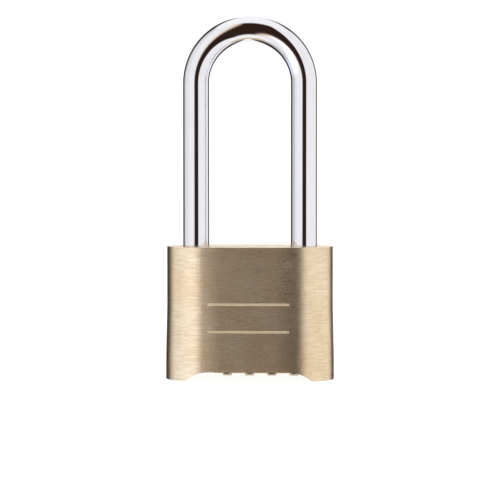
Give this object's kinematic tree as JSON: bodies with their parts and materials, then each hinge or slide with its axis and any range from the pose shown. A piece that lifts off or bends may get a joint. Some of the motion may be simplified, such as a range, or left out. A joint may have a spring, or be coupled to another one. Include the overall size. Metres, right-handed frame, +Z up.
{
  "type": "combination padlock",
  "caption": "Brass padlock with a long chrome shackle and number dials set in its underside, opened by a code and reset with a cam.",
  "frame": {"origin": "middle of the footprint on the base plane that the two feet of the body stand on", "axes": "+Z up along the shackle's legs, -Y out of the front face, +X towards the heel leg"},
  "size_m": [0.0508, 0.0234, 0.1093],
  "materials": {
    "brushed_brass": "brushed level",
    "brass_pin": "ground flush",
    "cast_brass": "satin",
    "chrome_rod": "polished",
    "black_rubber": "matt",
    "zinc_casting": "as cast",
    "spring_steel": "blued",
    "plated_steel": "zinc plated",
    "dial_brass": "satin"
  },
  "bodies": {
    "case": {"body": "brushed_brass", "heel_pin": "brass_pin", "frame_pins": "brass_pin", "bottom_plate": "cast_brass", "plate_seal": "black_rubber", "plate_screws": "plated_steel", "dial_carriage": "zinc_casting", "fence_spring": "spring_steel", "click_spring": "spring_steel", "spring_rivets": "plated_steel", "latch_spring": "spring_steel", "spindle_spring": "spring_steel"},
    "shackle": {"shackle": "chrome_rod"},
    "latch": {"latch_slide": "zinc_casting"},
    "spindle": {"spindle": "plated_steel", "spindle_rings": "spring_steel", "hub_spacers": "dial_brass"},
    "cam": {"change_cam": "cast_brass"},
    "dial_1": {"dial_1": "dial_brass"},
    "dial_2": {"dial_2": "dial_brass"},
    "dial_3": {"dial_3": "dial_brass"},
    "dial_4": {"dial_4": "dial_brass"},
    "hub_1": {"hub_1": "zinc_casting"},
    "hub_2": {"hub_2": "zinc_casting"},
    "hub_3": {"hub_3": "zinc_casting"},
    "hub_4": {"hub_4": "zinc_casting"}
  },
  "joints": [
    {"name": "shackle_lift", "type": "slide", "parent": "case", "child": "shackle", "axis": [0, 0, 1], "range_m": [0, 0.0125], "deforming": ["fence_spring", "latch_spring"]},
    {"name": "latch_travel", "type": "slide", "parent": "case", "child": "latch", "axis": [1, 0, 0], "range_m": [0, 0.005]},
    {"name": "dial_1_turn", "type": "hinge", "parent": "case", "child": "dial_1", "pos_m": [-0.00675, 0, 0.00795], "axis": [1, 0, 0], "continuous": true, "deforming": ["click_spring", "fence_spring"]},
    {"name": "dial_2_turn", "type": "hinge", "parent": "case", "child": "dial_2", "pos_m": [-0.00005, 0, 0.00795], "axis": [1, 0, 0], "continuous": true, "deforming": ["click_spring", "fence_spring"]},
    {"name": "dial_3_turn", "type": "hinge", "parent": "case", "child": "dial_3", "pos_m": [0.00665, 0, 0.00795], "axis": [1, 0, 0], "continuous": true, "deforming": ["click_spring", "fence_spring"]},
    {"name": "dial_4_turn", "type": "hinge", "parent": "case", "child": "dial_4", "pos_m": [0.01335, 0, 0.00795], "axis": [1, 0, 0], "continuous": true, "deforming": ["click_spring", "fence_spring"]},
    {"name": "hub_1_turn", "type": "hinge", "parent": "spindle", "child": "hub_1", "pos_m": [-0.00675, 0, 0.00795], "axis": [1, 0, 0], "continuous": true},
    {"name": "hub_2_turn", "type": "hinge", "parent": "spindle", "child": "hub_2", "pos_m": [-0.00005, 0, 0.00795], "axis": [1, 0, 0], "continuous": true},
    {"name": "hub_3_turn", "type": "hinge", "parent": "spindle", "child": "hub_3", "pos_m": [0.00665, 0, 0.00795], "axis": [1, 0, 0], "continuous": true},
    {"name": "hub_4_turn", "type": "hinge", "parent": "spindle", "child": "hub_4", "pos_m": [0.01335, 0, 0.00795], "axis": [1, 0, 0], "continuous": true},
    {"name": "change_cam_turn", "type": "hinge", "parent": "case", "child": "cam", "pos_m": [-0.01625, 0, 0.008], "axis": [0, 0, 1], "range_deg": [0, 90]},
    {"name": "spindle_shift", "type": "slide", "parent": "case", "child": "spindle", "axis": [1, 0, 0], "range_m": [0, 0.0015], "deforming": ["spindle_spring"]}
  ],
  "couplings": [
    {"joint": "latch_travel", "follows": "shackle_lift", "ratio": 0.4},
    {"joint": "hub_1_turn", "follows": "dial_1_turn", "ratio": 1},
    {"joint": "hub_2_turn", "follows": "dial_2_turn", "ratio": 1},
    {"joint": "hub_3_turn", "follows": "dial_3_turn", "ratio": 1},
    {"joint": "hub_4_turn", "follows": "dial_4_turn", "ratio": 1},
    {"joint": "change_cam_turn", "follows": "spindle_shift", "rad_per_m": 1047.2}
  ]
}
